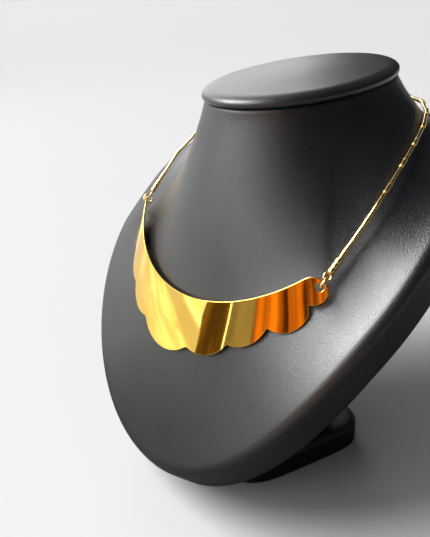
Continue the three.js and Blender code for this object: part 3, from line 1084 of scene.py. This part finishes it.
def leatherette():
    """A black cover with round pebbles, fine creases between them and slightly worn patches."""
    n = Nodes("leatherette")
    where = n.add("ShaderNodeTexCoord").outputs["Object"]
    cells = n.add("ShaderNodeTexVoronoi", {"feature": "F1"}, Vector=where, Scale=2000.0)
    pebbles = n.spread(n.math("POWER", cells.outputs["Distance"], 2.0), 1.0, 0.0)
    creases = n.noise(where, scale=320.0, detail=4.0, roughness=0.6)
    padding = n.noise(where, scale=24.0, detail=1.0)
    patches = n.noise(where, scale=38.0, detail=4.0)
    soft = n.bump(padding, 0.35, 0.0012)
    normal = n.bump(pebbles, 0.85, 0.00009, soft)
    dark = (0.004, 0.0043, 0.005, 1)
    pale = (0.0065, 0.0068, 0.0078, 1)
    tint = n.ramp(patches, [(0.3, dark), (0.7, pale)])
    worn = n.math("ADD", n.spread(patches, 0.26, 0.31), n.math("MULTIPLY", creases, 0.05))
    rough = n.math("SUBTRACT", n.math("ADD", worn, 0.09), n.math("MULTIPLY", pebbles, 0.13))
    return n.shade(Base_Color=tint, Roughness=rough, Normal=normal, Specular_IOR_Level=0.7)


def gold(name, color, deep, roughness, waviness, grain):
    """Polished plating in two close colours, with smudges, slow waves and fine marks."""
    n = Nodes(name)
    where = n.add("ShaderNodeTexCoord").outputs["Object"]
    clouds = n.noise(where, scale=60.0, detail=3.0)
    smudges = n.noise(where, scale=180.0, detail=5.0, roughness=0.65)
    waves = n.noise(where, scale=30.0, detail=1.0)
    marks = n.noise(where, scale=1800.0, detail=2.0)
    tint = n.ramp(clouds, [(0.35, (*color, 1)), (0.75, (*deep, 1))])
    rough = n.spread(smudges, roughness * 0.7, roughness * 1.5)
    soft = n.bump(waves, waviness, 0.0008)
    normal = n.bump(marks, grain, 0.00004, soft)
    return n.shade(Base_Color=tint, Metallic=1.0, Roughness=rough, Normal=normal)


# The object


def dress(piece, material, nodes):
    piece.data.materials.append(material)
    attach(piece, "root")
    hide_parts(*nodes)
    return piece


def make_bust():
    cover = leatherette()
    dress(bust_body(), cover, ["bust_body"])
    dress(neck_cap(), cover, ["neck_cap"])
    dress(bust_foot(), cover, ["bust_foot"])


def make_necklace():
    mirror = gold("plate_gold", (0.95, 0.62, 0.13), (0.92, 0.57, 0.1), 0.04, 0.3, 0.02)
    links = gold("chain_gold", (0.93, 0.68, 0.28), (0.88, 0.58, 0.18), 0.12, 0.1, 0.12)
    dress(bib_plate(), mirror, ["bib_plate"])
    pairs = {
        "jump_ring": front_ring(),
        "end_cap": front_cap(),
        "chain": strand(),
        "nape_cap": back_cap(),
    }
    for name, shape in pairs.items():
        dress(shape.object(f"gold_{name}_right"), links, [f"{name}_right"])
        dress(shape.mirrored().object(f"gold_{name}_left"), links, [f"{name}_left"])
    dress(clasp().object("gold_clasp"), links, ["clasp"])


# The camera


def look_rotation(azimuth, elevation, roll):
    back = Vector((
        math.sin(azimuth) * math.cos(elevation),
        -math.cos(azimuth) * math.cos(elevation),
        math.sin(elevation),
    ))
    right = Vector((math.cos(azimuth), math.sin(azimuth), 0))
    up = back.cross(right)
    turned_right = right * math.cos(roll) + up * math.sin(roll)
    turned_up = up * math.cos(roll) - right * math.sin(roll)
    return Matrix((turned_right, turned_up, back)).transposed()


def make_camera():
    data = bpy.data.cameras.new("camera")
    data.sensor_width = CAMERA["sensor"]
    data.lens = CAMERA["focal_pixels"] / CAMERA["image_height"] * CAMERA["sensor"]
    data.clip_start = 0.01
    data.clip_end = 200
    camera = bpy.data.objects.new("camera", data)
    turn = look_rotation(CAMERA["azimuth"], CAMERA["elevation"], CAMERA["roll"])
    camera.matrix_world = Matrix.Translation(metres(CAMERA["place"])) @ turn.to_4x4()
    bpy.context.scene.collection.objects.link(camera)
    bpy.context.scene.camera = camera


# The studio


def toward(azimuth, elevation):
    """The direction at an azimuth from the front, turning right, and an elevation, in degrees."""
    a = math.radians(azimuth)
    e = math.radians(elevation)
    return Vector((math.sin(a) * math.cos(e), -math.cos(a) * math.cos(e), math.sin(e)))


def add_light(name, data, place, way):
    light = bpy.data.objects.new(name, data)
    light.location = place
    light.rotation_mode = "QUATERNION"
    light.rotation_quaternion = (-way).to_track_quat("-Z", "Y")
    light.visible_camera = False
    bpy.context.scene.collection.objects.link(light)


def sun(name, azimuth, elevation, strength, spread):
    data = bpy.data.lights.new(name, "SUN")
    data.energy = strength
    data.angle = math.radians(spread)
    way = toward(azimuth, elevation)
    add_light(name, data, MIDDLE + way, way)


def panel(name, azimuth, elevation, size, radiance):
    """A soft box at the studio's radius that looks equally bright from everywhere."""
    data = bpy.data.lights.new(name, "AREA")
    data.shape = "RECTANGLE"
    data.size, data.size_y = size
    data.energy = radiance * math.pi * size[0] * size[1]
    way = toward(azimuth, elevation)
    add_light(name, data, MIDDLE + way * STUDIO_RADIUS, way)


def stage_piece(name, points, faces, material):
    mesh = bpy.data.meshes.new(name)
    mesh.from_pydata(points, [], faces)
    mesh.materials.append(material)
    piece = new_object(name, mesh)
    return piece


def unseen(name, points, faces, material):
    """A surface of the studio for the gloss to mirror. The camera doesn't see it."""
    piece = stage_piece(name, points, faces, material)
    piece.visible_camera = False
    piece.visible_diffuse = False
    piece.visible_shadow = False


def card(name, azimuths, material):
    """A curved card that stands on the floor."""
    steps = 12
    points = []
    for step in range(steps + 1):
        azimuth = azimuths[0] + (azimuths[1] - azimuths[0]) * step / steps
        foot = toward(azimuth, 0) * STUDIO_RADIUS
        points += [foot, foot + UP * CARD_HEIGHT]
    faces = [(2 * i, 2 * i + 1, 2 * i + 3, 2 * i + 2) for i in range(steps)]
    unseen(name, points, faces, material)


def rectangle(low, high, lift):
    (x0, y0), (x1, y1) = low, high
    return [(x0, y0, lift), (x1, y0, lift), (x1, y1, lift), (x0, y1, lift)]


def sheet(name, low, high, lift, material):
    """A flat sheet that lies on the floor."""
    unseen(name, rectangle(low, high, lift), [(0, 1, 2, 3)], material)


def card_paint(name, low, high, streaks, glow=0.0):
    """Two colours in drifting streaks, which the gold turns into soft patches and swirls. A glow, where
    given, is painted light.
    """
    n = Nodes(name)
    where = n.add("ShaderNodeTexCoord").outputs["Object"]
    stretched = n.add("ShaderNodeMapping", Vector=where, Scale=(1.0, 1.0, 0.6))
    drift = n.noise(stretched.outputs[0], streaks, detail=2.0, roughness=0.5, swirl=1.2)
    tint = n.ramp(drift, [(0.4, (*low, 1)), (0.6, (*high, 1))])
    return n.shade(Base_Color=tint, Emission_Color=tint, Emission_Strength=glow, Roughness=0.9)


def make_cards():
    dark = card_paint("dark_paint", (0.12, 0.06, 0.01), (0.34, 0.2, 0.04), 9.0)
    tan = card_paint("tan_paint", (0.36, 0.33, 0.26), (0.5, 0.46, 0.36), 6.0)
    # The warm paint glows with painted light, so that the gold mirrors a brighter orange than the lamps
    # give it.
    warm = card_paint("warm_glow_paint", (0.05, 0.006, 0.001), (1.0, 0.3, 0.012), 4.5, glow=0.45)
    white = card_paint("white_paint", (0.34, 0.33, 0.3), (0.58, 0.57, 0.53), 3.0)
    # The black paint is painted shade, for the floor round the bust where its own shade falls.
    black = card_paint("floor_shade_paint", (0.04, 0.04, 0.045), (0.07, 0.07, 0.075), 3.0)
    card("dark_card", (-25, -12.5), dark)
    card("tan_card", (-12, 1), tan)
    card("warm_glow_card", (1, 58), warm)
    sheet("white_sheet", (-1.1, -1.2), (0.3, 0.3), 0.0005, white)
    # The black sheet is painted shade: the leather's gloss mirrors it as the shaded floor round the bust.
    sheet("painted_shade_sheet", (-0.22, -0.38), (0.9, 0.6), 0.001, black)


def make_floor():
    paint = Nodes("floor").shade(Base_Color=grey(0.36), Roughness=0.9, Specular_IOR_Level=0.2)
    corners = rectangle((-FLOOR_REACH, -FLOOR_REACH), (FLOOR_REACH, FLOOR_REACH), 0)
    stage_piece("floor", corners, [(0, 1, 2, 3)], paint)


def make_backdrop():
    """A pale wall round the scene, which lights nothing."""
    radius, sides = BACKDROP["radius"], BACKDROP["sides"]
    ring = [(radius * math.cos(turn), radius * math.sin(turn)) for turn in full_turn(sides)]
    points = [(x, y, z) for z in (0, BACKDROP["height"]) for x, y in ring]
    faces = [(i, (i + 1) % sides, sides + (i + 1) % sides, sides + i) for i in range(sides)]
    paint = Nodes("backdrop").shade(Base_Color=grey(0), Emission_Color=grey(1), Emission_Strength=0.75)
    wall = stage_piece("backdrop", points, faces, paint)
    wall.visible_diffuse = False
    wall.visible_glossy = False
    wall.visible_shadow = False


def make_light():
    world = bpy.data.worlds.new("studio")
    world.use_nodes = True
    sky = world.node_tree.nodes["Background"]
    sky.inputs["Color"].default_value = (0.9, 0.95, 1, 1)
    sky.inputs["Strength"].default_value = 0.05
    bpy.context.scene.world = world
    sun("key", azimuth=-42, elevation=50, strength=7.2, spread=40)
    panel("window", azimuth=-56, elevation=16, size=(1.4, 0.8), radiance=1.5)
    panel("front", azimuth=10, elevation=36, size=(1.0, 0.5), radiance=2.8)
    sun("side", azimuth=-116, elevation=12, strength=0.85, spread=42)
    sun("fill", azimuth=-15, elevation=20, strength=1.1, spread=40)
    sun("above", azimuth=-100, elevation=40, strength=0.7, spread=50)
    panel("strip", azimuth=-13.5, elevation=4, size=(0.03, 0.4), radiance=2.5)


make_camera()
make_bust()
make_necklace()
make_floor()
make_backdrop()
make_cards()
make_light()
bpy.context.scene.view_settings.view_transform = "Standard"
